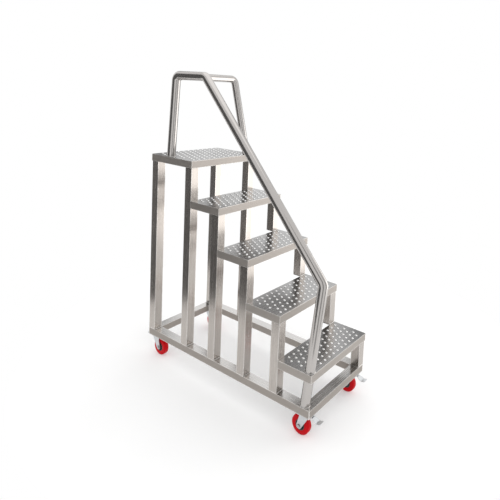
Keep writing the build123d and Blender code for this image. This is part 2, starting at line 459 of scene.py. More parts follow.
def mesh_from(bm, name, angle=35.0):
    mesh = bpy.data.meshes.new(name)
    bm.to_mesh(mesh)
    bm.free()
    smooth(mesh, angle)
    return mesh


def turns(count):
    """Angles that divide a full turn into count equal steps."""
    return [2 * math.pi * k / count for k in range(count)]


def skin_rings(bm, rings):
    """Faces between each ring of points and the next."""
    for low, high in zip(rings, rings[1:]):
        for s in range(len(low)):
            t = (s + 1) % len(low)
            bm.faces.new((low[s], low[t], high[t], high[s]))


def faces_of(*objects):
    return ", ".join(f"{obj.name} {len(obj.data.polygons)} faces" for obj in objects)


print("mesh helpers ready")

# %% [markdown]
# ## Bent tube
# A handrail is bent from tube on a press, tightly at each corner. A curve object with a round bevel would
# draw it, but its ends can't be cut level where they stand on a tread. So rings of points follow the
# path, and an end ring slides along the tube until it is level.

# %% Swept tube
TUBE_SIDES = 64


def rounded_path(points, radius, steps):
    """Points of a line whose corners are replaced by arcs of that radius."""
    out = [Vector(points[0])]
    for before, corner, after in zip(points, points[1:], points[2:]):
        corner = Vector(corner)
        back = (Vector(before) - corner).normalized()
        ahead = (Vector(after) - corner).normalized()
        half = back.angle(ahead) / 2
        reach = radius / math.tan(half)
        centre = corner + (back + ahead).normalized() * (radius / math.sin(half))
        first = corner + back * reach - centre
        last = corner + ahead * reach - centre
        axis = first.cross(last).normalized()
        sweep = first.angle(last)
        for k in range(steps + 1):
            out.append(centre + Matrix.Rotation(sweep * k / steps, 3, axis) @ first)
    out.append(Vector(points[-1]))
    return out


def tube_round(name, path, radius, start_level, end_level):
    """Tube along path. An end with a level is cut flat at that height."""
    final = len(path) - 1
    levels = {0: start_level, final: end_level}
    tangents = []
    for k in range(final + 1):
        tangents.append((path[min(k + 1, final)] - path[max(k - 1, 0)]).normalized())
    up = Vector((1, 0, 0)) if abs(tangents[0].x) < 0.9 else Vector((0, 0, 1))
    normal = (up - tangents[0] * up.dot(tangents[0])).normalized()
    bm = bmesh.new()
    rings = []
    for k, (point, tangent) in enumerate(zip(path, tangents)):
        normal = (normal - tangent * normal.dot(tangent)).normalized()
        side = tangent.cross(normal)
        level = levels.get(k)
        ring = []
        for a in turns(TUBE_SIDES):
            place = point + (normal * math.cos(a) + side * math.sin(a)) * radius
            if level is not None:
                place += tangent * ((level - place.z) / tangent.z)
            ring.append(bm.verts.new(place))
        rings.append(ring)
    skin_rings(bm, rings)
    bm.faces.new(list(reversed(rings[0])))
    bm.faces.new(rings[-1])
    bmesh.ops.recalc_face_normals(bm, faces=bm.faces)
    return mesh_from(bm, name)


print("tube sweeper:", TUBE_SIDES, "sides a ring")

# %% [markdown]
# ## Handrail and guard
# The rail is one tube: a raked leg, a level bar, a long slope and a front leg that passes through the
# lowest tread. The CAD tubes meet in mitres at its corners. The shown tube runs through the same corners
# with a small bend. The guard's bar butts on the rail's rear corner.

# %% Handrail and guard
TUBE_WIDTH = 0.050
RAIL_RADIUS = 0.024
GUARD_RADIUS = RAIL_RADIUS - 0.0015
BEND_RADIUS = 0.030
BEND_STEPS = 10
BAR_ABOVE_PLATFORM = 0.460
RAIL_FOOT_FROM_REAR = 0.133
RAIL_CORNER_FROM_REAR = 0.163
GUARD_FOOT_FROM_REAR = 0.290
BAR_LENGTH = 0.237
BEND_AHEAD_OF_BASE = 0.021
BEND_ABOVE_BASE = 0.605
LEG_BEHIND_FRONT = TUBE_WIDTH / 2
JOINT_SHIFT = Vector((0.0, -0.004, -0.003))

rail_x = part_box("post_left_1")[0].x + TUBE_WIDTH / 2
platform_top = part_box("tread_5")[1].z
base_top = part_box("base_left")[1].z
lowest_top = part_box("tread_1")[1].z
front_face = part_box("base_front")[0].y
rear_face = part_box("base_rear")[1].y
bar_z = platform_top + BAR_ABOVE_PLATFORM

rail_foot = Vector((rail_x, rear_face - RAIL_FOOT_FROM_REAR, platform_top))
rail_rear = Vector((rail_x, rear_face - RAIL_CORNER_FROM_REAR, bar_z))
rail_front = Vector((rail_x, rail_rear.y - BAR_LENGTH, bar_z))
rail_bend = Vector((rail_x, front_face - BEND_AHEAD_OF_BASE, base_top + BEND_ABOVE_BASE))
lean = (front_face + LEG_BEHIND_FRONT - rail_bend.y) / (rail_bend.z - lowest_top)
leg_foot = Vector((rail_x, rail_bend.y + lean * (rail_bend.z - base_top), base_top))
guard_corner = Vector((-rail_x, rail_rear.y, bar_z))
guard_foot = Vector((-rail_x, rear_face - GUARD_FOOT_FROM_REAR, platform_top))

rail_path = rounded_path([rail_foot, rail_rear, rail_front, rail_bend, leg_foot], BEND_RADIUS, BEND_STEPS)
rail_mesh = tube_round("handrail_tube", rail_path, RAIL_RADIUS, platform_top, base_top)
rail = add_piece("handrail_tube", rail_mesh, MAT["rail"])
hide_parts("rail_rear_leg", "rail_top_bar", "rail_slope", "rail_front_leg")

bar_start = rail_rear + JOINT_SHIFT + Vector((RAIL_RADIUS * 0.55, 0, 0))
guard_path = rounded_path([bar_start, guard_corner, guard_foot], BEND_RADIUS, BEND_STEPS)
guard_mesh = tube_round("guard_tube", guard_path, GUARD_RADIUS, None, platform_top)
guard = add_piece("guard_tube", guard_mesh, MAT["rail"])
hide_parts("guard_bar", "guard_right_leg")
print(faces_of(rail, guard), "and the bar is", round(bar_z, 3), "m high")

# %% [markdown]
# ## Node groups for repeated shapes
# Hundreds of buttons and metres of weld are too much to place by hand. A geometry node group repeats one
# shape by rule, with its sizes as named inputs. Each group here ends in Realize Instances and Set
# Material. Its result is taken as a plain mesh, so the piece can be exported.

# %% Geometry group helpers


def geometry_group(name, inputs):
    tree = bpy.data.node_groups.new(name, "GeometryNodeTree")
    tree.interface.new_socket("Geometry", in_out="INPUT", socket_type="NodeSocketGeometry")
    for label, kind, value in inputs:
        socket = tree.interface.new_socket(label, in_out="INPUT", socket_type=kind)
        if value is not None:
            socket.default_value = value
    tree.interface.new_socket("Geometry", in_out="OUTPUT", socket_type="NodeSocketGeometry")
    return tree, tree.nodes.new("NodeGroupInput"), tree.nodes.new("NodeGroupOutput")


def end_group(tree, shape, gin, gout):
    """Last nodes of a group: Realize Instances, then Set Material."""
    real = tree.nodes.new("GeometryNodeRealizeInstances")
    tree.links.new(shape, real.inputs[0])
    paint = tree.nodes.new("GeometryNodeSetMaterial")
    tree.links.new(real.outputs[0], paint.inputs["Geometry"])
    tree.links.new(gin.outputs["Material"], paint.inputs["Material"])
    tree.links.new(paint.outputs[0], gout.inputs[0])


def input_identifiers(tree):
    """The modifier's own name for each input of a group, by its label."""
    sockets = [item for item in tree.interface.items_tree if item.item_type == "SOCKET"]
    return {item.name: item.identifier for item in sockets if item.in_out == "INPUT"}


def apply_group(obj, tree, values, material):
    """Runs a node group on obj, and leaves a plain mesh with no modifier."""
    mod = obj.modifiers.new("nodes", "NODES")
    mod.node_group = tree
    names = input_identifiers(tree)
    for label, value in values.items():
        mod[names[label]] = value
    mod[names["Material"]] = material
    bpy.context.view_layer.update()
    graph = bpy.context.evaluated_depsgraph_get()
    mesh = bpy.data.meshes.new_from_object(obj.evaluated_get(graph))
    obj.modifiers.remove(mod)
    old = obj.data
    obj.data = mesh
    bpy.data.meshes.remove(old)
    mesh.name = obj.name


print("geometry group helpers ready")

# %% [markdown]
# ## One pressed button
# A punch raises each button from the sheet and leaves a small hollow at its top, which gives shoes a
# grip. It could be a bump in the shader, but from a low angle its outline shows, so it is a small turned
# mesh. The CAD leaves it out: hundreds of buttons would add facets and change no fit.

# %% Button mesh
BUTTON_SIDES = 16
BUTTON_PROFILE = (
    (0.0070, 0.0),
    (0.0064, 0.0014),
    (0.0053, 0.0028),
    (0.0040, 0.0036),
    (0.0030, 0.0038),
    (0.0023, 0.0033),
    (0.0018, 0.0016),
)


def button_mesh():
    """A dome of (radius, height) points with a hollow at its top. Its base is at z = 0."""
    bm = bmesh.new()
    rings = []
    for radius, z in BUTTON_PROFILE:
        ring = []
        for a in turns(BUTTON_SIDES):
            ring.append(bm.verts.new((radius * math.cos(a), radius * math.sin(a), z)))
        rings.append(ring)
    skin_rings(bm, rings)
    bm.faces.new(rings[-1])
    return mesh_from(bm, "button", 60.0)


button_height = max(z for r, z in BUTTON_PROFILE)
print("button", 2 * BUTTON_PROFILE[0][0], "m across and", button_height, "m high")

# %% [markdown]
# ## The field of buttons
# The press sets the buttons in rows, and every other row is shifted by half a step. An Array modifier
# can't stagger rows. The node group starts from a grid of points, slides its odd and even rows apart by
# Stagger steps, and puts a copy of the mesh on each point. With no stagger it also lays the castors' bolts.

# %% Group for a field of copies


def field_group():
    tree, gin, gout = geometry_group(
        "field_of_copies",
        [
            ("Width", "NodeSocketFloat", 0.4),
            ("Depth", "NodeSocketFloat", 0.16),
            ("Columns", "NodeSocketInt", 12),
            ("Rows", "NodeSocketInt", 5),
            ("Stagger", "NodeSocketFloat", 0.5),
            ("Centre", "NodeSocketVector", (0.0, 0.0, 0.0)),
            ("Material", "NodeSocketMaterial", None),
        ],
    )
    new, join = tree.nodes.new, tree.links.new
    grid = new("GeometryNodeMeshGrid")
    join(gin.outputs["Width"], grid.inputs["Size X"])
    join(gin.outputs["Depth"], grid.inputs["Size Y"])
    join(gin.outputs["Columns"], grid.inputs["Vertices X"])
    join(gin.outputs["Rows"], grid.inputs["Vertices Y"])
    index = new("GeometryNodeInputIndex").outputs[0]
    row = add_math(tree, "MODULO", index, gin.outputs["Rows"])
    odd = add_math(tree, "MODULO", row, 2.0)
    gaps = add_math(tree, "SUBTRACT", gin.outputs["Columns"], 1.0)
    pitch = add_math(tree, "DIVIDE", gin.outputs["Width"], gaps)
    steps = add_math(tree, "MULTIPLY", add_math(tree, "SUBTRACT", odd, 0.5), gin.outputs["Stagger"])
    offset = new("ShaderNodeCombineXYZ")
    join(add_math(tree, "MULTIPLY", steps, pitch), offset.inputs["X"])
    stagger = new("GeometryNodeSetPosition")
    join(grid.outputs["Mesh"], stagger.inputs["Geometry"])
    join(offset.outputs[0], stagger.inputs["Offset"])
    place = new("GeometryNodeTransform")
    join(stagger.outputs[0], place.inputs["Geometry"])
    join(gin.outputs["Centre"], place.inputs["Translation"])
    copies = new("GeometryNodeInstanceOnPoints")
    join(place.outputs[0], copies.inputs["Points"])
    join(gin.outputs["Geometry"], copies.inputs["Instance"])
    end_group(tree, copies.outputs[0], gin, gout)
    return tree


FIELD = field_group()
print("group", FIELD.name, "with inputs", ", ".join(input_identifiers(FIELD)))

# %% [markdown]
# ## Buttons on the treads
# The platform is deeper than the treads, so it has more rows. Where a leg of the rail or guard stands, a
# maker leaves the sheet flat for the weld. A group that skips those places would need their list as an
# input, so it makes a full field, and the buttons near a leg are taken away after it.

# %% Press the treads
TREADS = range(1, 6)
COLUMNS = 12
TREAD_ROWS = 6
PLATFORM_ROWS = 8
STAGGER = 0.5
SIDE_MARGIN = 0.045
EDGE_MARGIN = 0.027
BUTTON_SINK = 0.0002
FLAT_ROUND_LEG = 0.040
LEGS = {
    1: [Vector((rail_x, front_face + LEG_BEHIND_FRONT, lowest_top))],
    5: [rail_foot, guard_foot],
}


def clear_round(mesh, legs):
    """Deletes each button that comes too near a leg, and gives back how many."""
    bm = bmesh.new()
    bm.from_mesh(mesh)
    stack = [v for v in bm.verts for leg in legs if (v.co.xy - leg.xy).length < FLAT_ROUND_LEG]
    doomed = set()
    while stack:
        vert = stack.pop()
        if vert in doomed:
            continue
        doomed.add(vert)
        stack.extend(edge.other_vert(vert) for edge in vert.link_edges)
    bmesh.ops.delete(bm, geom=list(doomed), context="VERTS")
    bm.to_mesh(mesh)
    bm.free()
    return len(doomed) // (BUTTON_SIDES * len(BUTTON_PROFILE))


for number in TREADS:
    low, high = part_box(f"tread_{number}")
    rows = PLATFORM_ROWS if number == TREADS[-1] else TREAD_ROWS
    field = place_object(f"buttons_{number}", button_mesh())
    values = {
        "Width": (high.x - low.x) - 2 * SIDE_MARGIN,
        "Depth": (high.y - low.y) - 2 * EDGE_MARGIN,
        "Columns": COLUMNS,
        "Rows": rows,
        "Stagger": STAGGER,
        "Centre": ((low.x + high.x) / 2, (low.y + high.y) / 2, high.z - BUTTON_SINK),
    }
    apply_group(field, FIELD, values, MAT["button"])
    gone = clear_round(field.data, LEGS.get(number, []))
    hand_over(field)
    print(field.name, COLUMNS * rows - gone, "buttons,", gone, "taken away round a leg")

# %% [markdown]
# ## Weld beads
# A weld is a thin bead with a ripple at each drop of metal. A plain tube would look like wire. The node
# group resamples each seam, lets the radius rise and fall from point to point with a fixed seed, and
# sweeps a circle.

# %% Weld group
WELD_PITCH = 0.0035
RIPPLE_LOW = 0.82
RIPPLE_STEP = 0.26
LEAST_SWELL = 0.80
MOST_SWELL = 1.15


def weld_group():
    tree, gin, gout = geometry_group(
        "weld_bead",
        [
            ("Radius", "NodeSocketFloat", 0.003),
            ("Pitch", "NodeSocketFloat", 0.003),
            ("Seed", "NodeSocketInt", 3),
            ("Material", "NodeSocketMaterial", None),
        ],
    )
    new, join = tree.nodes.new, tree.links.new
    curve = new("GeometryNodeMeshToCurve")
    join(gin.outputs["Geometry"], curve.inputs["Mesh"])
    dense = new("GeometryNodeResampleCurve")
    dense.mode = "LENGTH"
    join(curve.outputs[0], dense.inputs["Curve"])
    join(gin.outputs["Pitch"], dense.inputs["Length"])
    index = new("GeometryNodeInputIndex").outputs[0]
    ripple = add_math(tree, "MULTIPLY", add_math(tree, "MODULO", index, 2.0), RIPPLE_STEP)
    chance = new("FunctionNodeRandomValue")
    chance.data_type = "FLOAT"
    chance.inputs["Min"].default_value = LEAST_SWELL
    chance.inputs["Max"].default_value = MOST_SWELL
    join(gin.outputs["Seed"], chance.inputs["Seed"])
    # A Random Value node has one output for each type, and only the chosen one is enabled.
    random_float = [out for out in chance.outputs if out.type == "VALUE" and out.enabled][0]
    swell = add_math(tree, "MULTIPLY", random_float, add_math(tree, "ADD", RIPPLE_LOW, ripple))
    radius = new("GeometryNodeSetCurveRadius")
    join(dense.outputs[0], radius.inputs["Curve"])
    join(add_math(tree, "MULTIPLY", swell, gin.outputs["Radius"]), radius.inputs["Radius"])
    circle = new("GeometryNodeCurvePrimitiveCircle")
    circle.inputs["Resolution"].default_value = 8
    circle.inputs["Radius"].default_value = 1.0
    sweep = new("GeometryNodeCurveToMesh")
    join(radius.outputs[0], sweep.inputs["Curve"])
    join(circle.outputs[0], sweep.inputs["Profile Curve"])
    join(new("GeometryNodeInputRadius").outputs[0], sweep.inputs["Scale"])
    sweep.inputs["Fill Caps"].default_value = True
    end_group(tree, sweep.outputs[0], gin, gout)
    return tree


def weld(name, seams, radius, seed):
    """One bead piece from a list of (points, closed) seams."""
    mesh = bpy.data.meshes.new(name)
    verts = []
    edges = []
    for points, closed in seams:
        start = len(verts)
        verts.extend(tuple(p) for p in points)
        count = len(points)
        edges.extend((start + k, start + k + 1) for k in range(count - 1))
        if closed:
            edges.append((start + count - 1, start))
    mesh.from_pydata(verts, edges, [])
    obj = place_object(name, mesh)
    apply_group(obj, WELD, {"Radius": radius, "Pitch": WELD_PITCH, "Seed": seed}, MAT["weld"])
    smooth(obj.data, 60.0)
    hand_over(obj)
    print(name, "from", len(seams), "seams:", faces_of(obj))


WELD = weld_group()
print("group", WELD.name, "with inputs", ", ".join(input_identifiers(WELD)))

# %% [markdown]
# ## Straight welds
# A fillet runs along three sides of each post's foot. A fine upright line closes the folded corners at
# the back of each tread, and another line crosses each mitred corner of the base. They could be drawn by
# hand, but places read from the boxes of the CAD nodes follow the part when its sizes change.

# %% Lay the straight welds
FOOT_BEAD = 0.0026
END_BEAD = 0.0013
MITRE_BEAD = 0.0012
FOOT_INSET = 0.003
FOOT_LIFT = 0.0005
END_INSET = 0.004
END_FROM_SIDE = 0.0015
END_FROM_REAR = 0.0004
MITRE_INSET_SHARE = 0.06
MITRE_LIFT = 0.0001


def foot_welds(low, high, z, sides):
    """Seams along the sides of a post that are named: w is -X, e is +X, s is -Y and n is +Y."""
    ends = {
        "w": ((low.x, low.y), (low.x, high.y)),
        "e": ((high.x, low.y), (high.x, high.y)),
        "s": ((low.x, low.y), (high.x, low.y)),
        "n": ((low.x, high.y), (high.x, high.y)),
    }
    seams = []
    for side in sides:
        start, end = [Vector((*point, z)) for point in ends[side]]
        step = (end - start).normalized() * FOOT_INSET
        seams.append(([start + step, end - step], False))
    return seams


foot_seams = []
for name in nodes:
    if name.startswith("post_"):
        low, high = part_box(name)
        inner = "e" if low.x < 0 else "w"
        foot_seams += foot_welds(low, high, low.z + FOOT_LIFT, inner + "sn")
weld("weld_post_feet", foot_seams, FOOT_BEAD, 3)

end_seams = []
for number in TREADS:
    low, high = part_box(f"tread_{number}")
    y = high.y - END_FROM_REAR
    for x in (low.x + END_FROM_SIDE, high.x - END_FROM_SIDE):
        bottom = Vector((x, y, low.z + END_INSET))
        top = Vector((x, y, high.z - END_INSET))
        end_seams.append(([bottom, top], False))
weld("weld_tread_ends", end_seams, END_BEAD, 5)

mitre_seams = []
for side_x in (-1, 1):
    for side_y in (-1, 1):
        low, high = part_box("base_front" if side_y < 0 else "base_rear")
        corner = Vector((side_x * high.x, low.y if side_y < 0 else high.y, high.z + MITRE_LIFT))
        inner = corner + Vector((-side_x * TUBE_WIDTH, -side_y * TUBE_WIDTH, 0))
        step = (inner - corner) * MITRE_INSET_SHARE
        mitre_seams.append(([corner + step, inner - step], False))
weld("weld_base_mitres", mitre_seams, MITRE_BEAD, 7)

# %% [markdown]
# ## Ring welds
# Each leg of the rail and guard is welded all round where it stands, and the guard's bar where it meets
# the rail. A leg is raked, so a plain ring round it would be tilted. Each point slides along the tube to
# the sheet's height.

# %% Lay the ring welds
RING_BEAD = 0.0024
RING_POINTS = 40
RING_LIFT = 0.0008
RAIL_RING = RAIL_RADIUS + 0.0006
BASE_RING = RAIL_RADIUS + 0.0004
GUARD_RING = RAIL_RADIUS - 0.0006
JOINT_RING = RAIL_RADIUS - 0.0010


def ring_weld(centre, along, radius, level=None):
    """Closed seam round a tube. With a level it lies flat at that height."""
    along = along.normalized()
    first = along.orthogonal().normalized()
    second = along.cross(first)
    points = []
    for a in turns(RING_POINTS):
        point = centre + (first * math.cos(a) + second * math.sin(a)) * radius
        if level is not None:
            point += along * ((level - point.z) / along.z)
        points.append(point)
    return points, True


rail_lean = rail_rear - rail_foot
leg_lean = leg_foot - rail_bend
guard_lean = guard_corner - guard_foot
leg_hit = rail_bend + leg_lean * ((rail_bend.z - lowest_top) / (rail_bend.z - base_top))
joint = rail_rear + JOINT_SHIFT + Vector((RAIL_RADIUS + RING_LIFT, 0, 0))
ring_seams = [
    ring_weld(rail_foot, rail_lean, RAIL_RING, platform_top + RING_LIFT),
    ring_weld(guard_foot, guard_lean, GUARD_RING, platform_top + RING_LIFT),
    ring_weld(leg_hit, leg_lean, RAIL_RING, lowest_top + RING_LIFT),
    ring_weld(leg_foot, leg_lean, BASE_RING, base_top + RING_LIFT),
    ring_weld(joint, Vector((1, 0, 0)), JOINT_RING),
]
weld("weld_rail_rings", ring_seams, RING_BEAD, 11)

# %% [markdown]
# ## Wheels
# Each wheel is a band of red polyurethane, cast round a moulded core. Both are turned shapes, so a line of
# points is spun about the axle. A Screw modifier would spin it too, but here each profile stays beside the
# sizes that it is made from: those of the CAD tyre and hub, which the two pieces stand in for.

# %% Bands and cores
TYRE_SIDES = 80
CORE_SIDES = 64
BORE = 0.0051


def turned(name, profile, origin, sides):
    """Spins a closed line of (along, radius) points about the X axis through origin."""
    bm = bmesh.new()
    x, y, z = origin
    rings = []
    for along, radius in profile:
        ring = []
        for a in turns(sides):
            ring.append(bm.verts.new((x + along, y + radius * math.cos(a), z + radius * math.sin(a))))
        rings.append(ring)
    skin_rings(bm, rings + rings[:1])
    bmesh.ops.recalc_face_normals(bm, faces=bm.faces)
    return mesh_from(bm, name, 40.0)


def tyre_profile(half, radius, rim):
    """A band from the core's rim to the tyre's radius, with rounded shoulders."""
    left = [
        (-half + 0.0004, rim + 0.0002),
        (-half, rim + 0.0020),
        (-half, radius - 0.0070),
        (-half + 0.0010, radius - 0.0032),
        (-half + 0.0030, radius - 0.0009),
        (-half + 0.0060, radius - 0.0001),
    ]
    return left + [(0.0, radius)] + [(-along, r) for along, r in reversed(left)]


def core_profile(half, rim, boss):
    """A boss round the bore, a dished web and a rim under the tyre."""
    right = [
        (boss, BORE),
        (boss, 0.0098),
        (boss - 0.0006, 0.0104),
        (half - 0.0055, 0.0118),
        (half - 0.0062, 0.0130),
        (half - 0.0062, rim - 0.0050),
        (half - 0.0040, rim - 0.0036),
        (half - 0.0006, rim - 0.0031),
        (half - 0.0002, rim - 0.0004),
        (half - 0.0010, rim),
    ]
    return [(-along, r) for along, r in right] + list(reversed(right))


print("profiles:", TYRE_SIDES, "sides for a band,", CORE_SIDES, "for a core")

# %% [markdown]
# ## Ribs of the core
# A moulded core is thin, so eight ribs on each face stiffen it from its boss to its rim. They could be
# copied by hand. The node group turns one pair of ribs about the axle as often as Count says.

# %% Rib group
RIBS = 8
RIB_DEPTH = 0.0050
RIB_THICKNESS = 0.0022
RIB_SHORTER = 0.0155
RIB_OUTWARD = 0.0038
RIB_FROM_FACE = 0.0042
RIB_EDGE = 0.0005


def round_axle_group():
    tree, gin, gout = geometry_group(
        "copies_round_axle",
        [
            ("Count", "NodeSocketInt", 8),
            ("Centre", "NodeSocketVector", (0.0, 0.0, 0.0)),
            ("Material", "NodeSocketMaterial", None),
        ],
    )
    new, join = tree.nodes.new, tree.links.new
    points = new("GeometryNodeMeshLine")
    points.inputs["Offset"].default_value = (0.0, 0.0, 0.0)
    join(gin.outputs["Count"], points.inputs["Count"])
    join(gin.outputs["Centre"], points.inputs["Start Location"])
    index = new("GeometryNodeInputIndex").outputs[0]
    step = add_math(tree, "DIVIDE", 2 * math.pi, gin.outputs["Count"])
    turn = new("ShaderNodeCombineXYZ")
    join(add_math(tree, "MULTIPLY", index, step), turn.inputs["X"])
    copies = new("GeometryNodeInstanceOnPoints")
    join(points.outputs[0], copies.inputs["Points"])
    join(gin.outputs["Geometry"], copies.inputs["Instance"])
    join(turn.outputs[0], copies.inputs["Rotation"])
    end_group(tree, copies.outputs[0], gin, gout)
    return tree


def rib_pair(half, rim):
    """One rib on each face of a core that has its centre at the origin."""
    bm = bmesh.new()
    for face in (-1, 1):
        made = bmesh.ops.create_cube(bm, size=1.0)["verts"]
        bmesh.ops.scale(bm, vec=(RIB_DEPTH, rim - RIB_SHORTER, RIB_THICKNESS), verts=made)
        shift = (face * (half - RIB_FROM_FACE), rim / 2 + RIB_OUTWARD, 0)
        bmesh.ops.translate(bm, vec=shift, verts=made)
    bmesh.ops.bevel(bm, geom=bm.edges[:], offset=RIB_EDGE, segments=2, affect="EDGES", profile=0.7)
    return mesh_from(bm, "rib_pair")


ROUND_AXLE = round_axle_group()
print("group", ROUND_AXLE.name, "with inputs", ", ".join(input_identifiers(ROUND_AXLE)))

# %% Wheels
for corner in CORNERS:
    body = "wheel_" + corner
    low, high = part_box("tyre_" + corner)
    centre = ((low.x + high.x) / 2, (low.y + high.y) / 2, (low.z + high.z) / 2)
    half = (high.x - low.x) / 2
    radius = (high.z - low.z) / 2
    low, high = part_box("hub_" + corner)
    rim = (high.z - low.z) / 2
    boss = (high.x - low.x) / 2
    band_name = "wheel_tread_" + corner
    band_mesh = turned(band_name, tyre_profile(half, radius, rim), centre, TYRE_SIDES)
    band = add_piece(band_name, band_mesh, MAT["tyre"], body)
    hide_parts("tyre_" + corner)
    core_name = "wheel_core_" + corner
    core_mesh = turned(core_name, core_profile(half, rim, boss), centre, CORE_SIDES)
    core = add_piece(core_name, core_mesh, MAT["core"], body)
    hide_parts("hub_" + corner)
    ribs = place_object("wheel_ribs_" + corner, rib_pair(half, rim))
    apply_group(ribs, ROUND_AXLE, {"Count": RIBS, "Centre": centre}, MAT["core"])
    hand_over(ribs, body)
    print(faces_of(band, core, ribs))

# %% [markdown]
# ## Brake pedals
# A pedal is one pressed plate that leaves the fork's crown, dips and lifts again at its toe, with a
# shallow groove that stiffens it. It could be an extruded outline. A grid of points takes the bends, the
# changing width and the groove at once, and a Solidify modifier gives it the sheet's thickness. It rides
# on the swivel, not the wheel.

# %% Pedal shape
PEDAL_LINE = ((0.0, 0.0), (0.014, 0.0), (0.042, -0.013), (0.062, -0.008))
PEDAL_ROWS = 31
PEDAL_COLUMNS = 10
PEDAL_THICKNESS = 0.0022
PEDAL_EDGE = 0.0005
PEDAL_SINK = 0.0001
SOFTEN = 0.0025
ROOT_WIDTH = 0.60
WIDEN_FROM = 0.20
WIDEN_OVER = 0.28
TOE_FROM = 0.93
GROOVE_FROM = 0.25
GROOVE_TO = 0.62
GROOVE_HALF = 0.35
GROOVE_DEPTH = 0.0009


def pedal_height(reach):
    """Height of the pedal's top beside its root, a given reach out from the fork's crown."""
    for (y0, z0), (y1, z1) in zip(PEDAL_LINE, PEDAL_LINE[1:]):
        if reach <= y1:
            return z0 + (z1 - z0) * max(0.0, reach - y0) / (y1 - y0)
    return PEDAL_LINE[-1][1]


def pedal_width(u):
    """Share of the full width at u, which runs from 0 at the root to 1 at the toe."""
    widened = min(1.0, max(0.0, (u - WIDEN_FROM) / WIDEN_OVER))
    share = ROOT_WIDTH + (1 - ROOT_WIDTH) * widened
    if u > TOE_FROM:
        past = (u - TOE_FROM) / (1 - TOE_FROM)
        share *= TOE_FROM + (1 - TOE_FROM) * (1 - past**2)
    return share


def pedal_mesh(name, low, high, out):
    """Top of the pedal. out is -1 for a pedal that points to the front and 1 for the rear."""
    root_y = high.y if out < 0 else low.y
    middle = (low.x + high.x) / 2
    bm = bmesh.new()
    grid = []
    for i in range(PEDAL_ROWS + 1):
        u = i / PEDAL_ROWS
        reach = u * (high.y - low.y)
        half = (high.x - low.x) / 2 * pedal_width(u)
        bend = sum(pedal_height(reach + k * SOFTEN) for k in (-1, 0, 1)) / 3
        line = []
        for j in range(PEDAL_COLUMNS + 1):
            v = 2 * j / PEDAL_COLUMNS - 1
            in_groove = GROOVE_FROM < u < GROOVE_TO and abs(v) < GROOVE_HALF
            z = high.z - PEDAL_SINK + bend - (GROOVE_DEPTH if in_groove else 0.0)
            line.append(bm.verts.new((middle + v * half, root_y + out * reach, z)))
        grid.append(line)
    for near, far in zip(grid, grid[1:]):
        for j in range(PEDAL_COLUMNS):
            bm.faces.new((near[j], near[j + 1], far[j + 1], far[j]))
    bmesh.ops.recalc_face_normals(bm, faces=bm.faces)
    if bm.faces[0].normal.z < 0:
        bmesh.ops.reverse_faces(bm, faces=bm.faces)
    return mesh_from(bm, name, 50.0)


print("pedal grid:", PEDAL_ROWS, "by", PEDAL_COLUMNS, "faces")

# %% Pedals
for corner in CORNERS:
    low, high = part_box("pedal_" + corner)
    name = "pedal_plate_" + corner
    out = -1 if "front" in corner else 1
    mesh = pedal_mesh(name, low, high, out)
    plate = add_piece(name, mesh, MAT["pedal"], "swivel_" + corner)
    thick = plate.modifiers.new("thick", "SOLIDIFY")
    thick.thickness = PEDAL_THICKNESS
    thick.offset = -1
    round_edges(plate, PEDAL_EDGE, 2)
    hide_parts("pedal_" + corner)
    print(faces_of(plate), "before its thickness")

# %% [markdown]
# ## Bolts
# Four bolts with washers hold each castor's plate under the base. The CAD has neither, since no fit
# depends on them. Each is a hexagon on a disc, with its edges broken a little, and hangs from the plate.
# The group that laid the buttons lays the four as two rows of two.

# %% Bolts
BOLT_FROM_EDGE = 0.009
PLATE_THICKNESS = 0.004
BROKEN_EDGE = 0.0003
WASHER = {"radius": 0.0065, "depth": 0.0010, "sides": 24, "drop": 0.0005}
HEAD = {"radius": 0.0052, "depth": 0.0034, "sides": 6, "drop": 0.0027}


def bolt_mesh():
    """A washer and a hexagon head that hang from the origin."""
    bm = bmesh.new()
    for disc in (WASHER, HEAD):
        made = bmesh.ops.create_cone(
            bm,
            cap_ends=True,
            segments=disc["sides"],
            radius1=disc["radius"],
            radius2=disc["radius"],
            depth=disc["depth"],
        )["verts"]
        bmesh.ops.translate(bm, vec=(0, 0, -disc["drop"]), verts=made)
    bmesh.ops.bevel(bm, geom=bm.edges[:], offset=BROKEN_EDGE, segments=1, affect="EDGES")
    return mesh_from(bm, "bolt")


for corner in CORNERS:
    low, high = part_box("plate_" + corner)
    bolts = place_object("plate_bolts_" + corner, bolt_mesh())
    values = {
        "Width": (high.x - low.x) - 2 * BOLT_FROM_EDGE,
        "Depth": (high.y - low.y) - 2 * BOLT_FROM_EDGE,
        "Columns": 2,
        "Rows": 2,
        "Stagger": 0.0,
        "Centre": ((low.x + high.x) / 2, (low.y + high.y) / 2, high.z - PLATE_THICKNESS),
    }
    apply_group(bolts, FIELD, values, MAT["bolt"])
    hand_over(bolts)
    print(faces_of(bolts))

# %% [markdown]
# ## Floor and background
# The photo is a packshot: the object stands in plain white, with a faint shadow under it. A large plane
# would give a horizon. A disc of white paper that glows a little, under a plain white world, fades into
# the background. The world is the same for every ray, so steel mirrors the white that the camera sees.

# %% Floor and world
FLOOR_RADIUS = 1.55
FLOOR_CENTRE = (0.45, 0.1, 0)
FLOOR_GLOW = 0.27
WHITE = (1.0, 1.0, 1.0, 1.0)
PAPER_DARK = (0.72, 0.72, 0.72, 1.0)
PAPER_LIGHT = (0.76, 0.76, 0.76, 1.0)

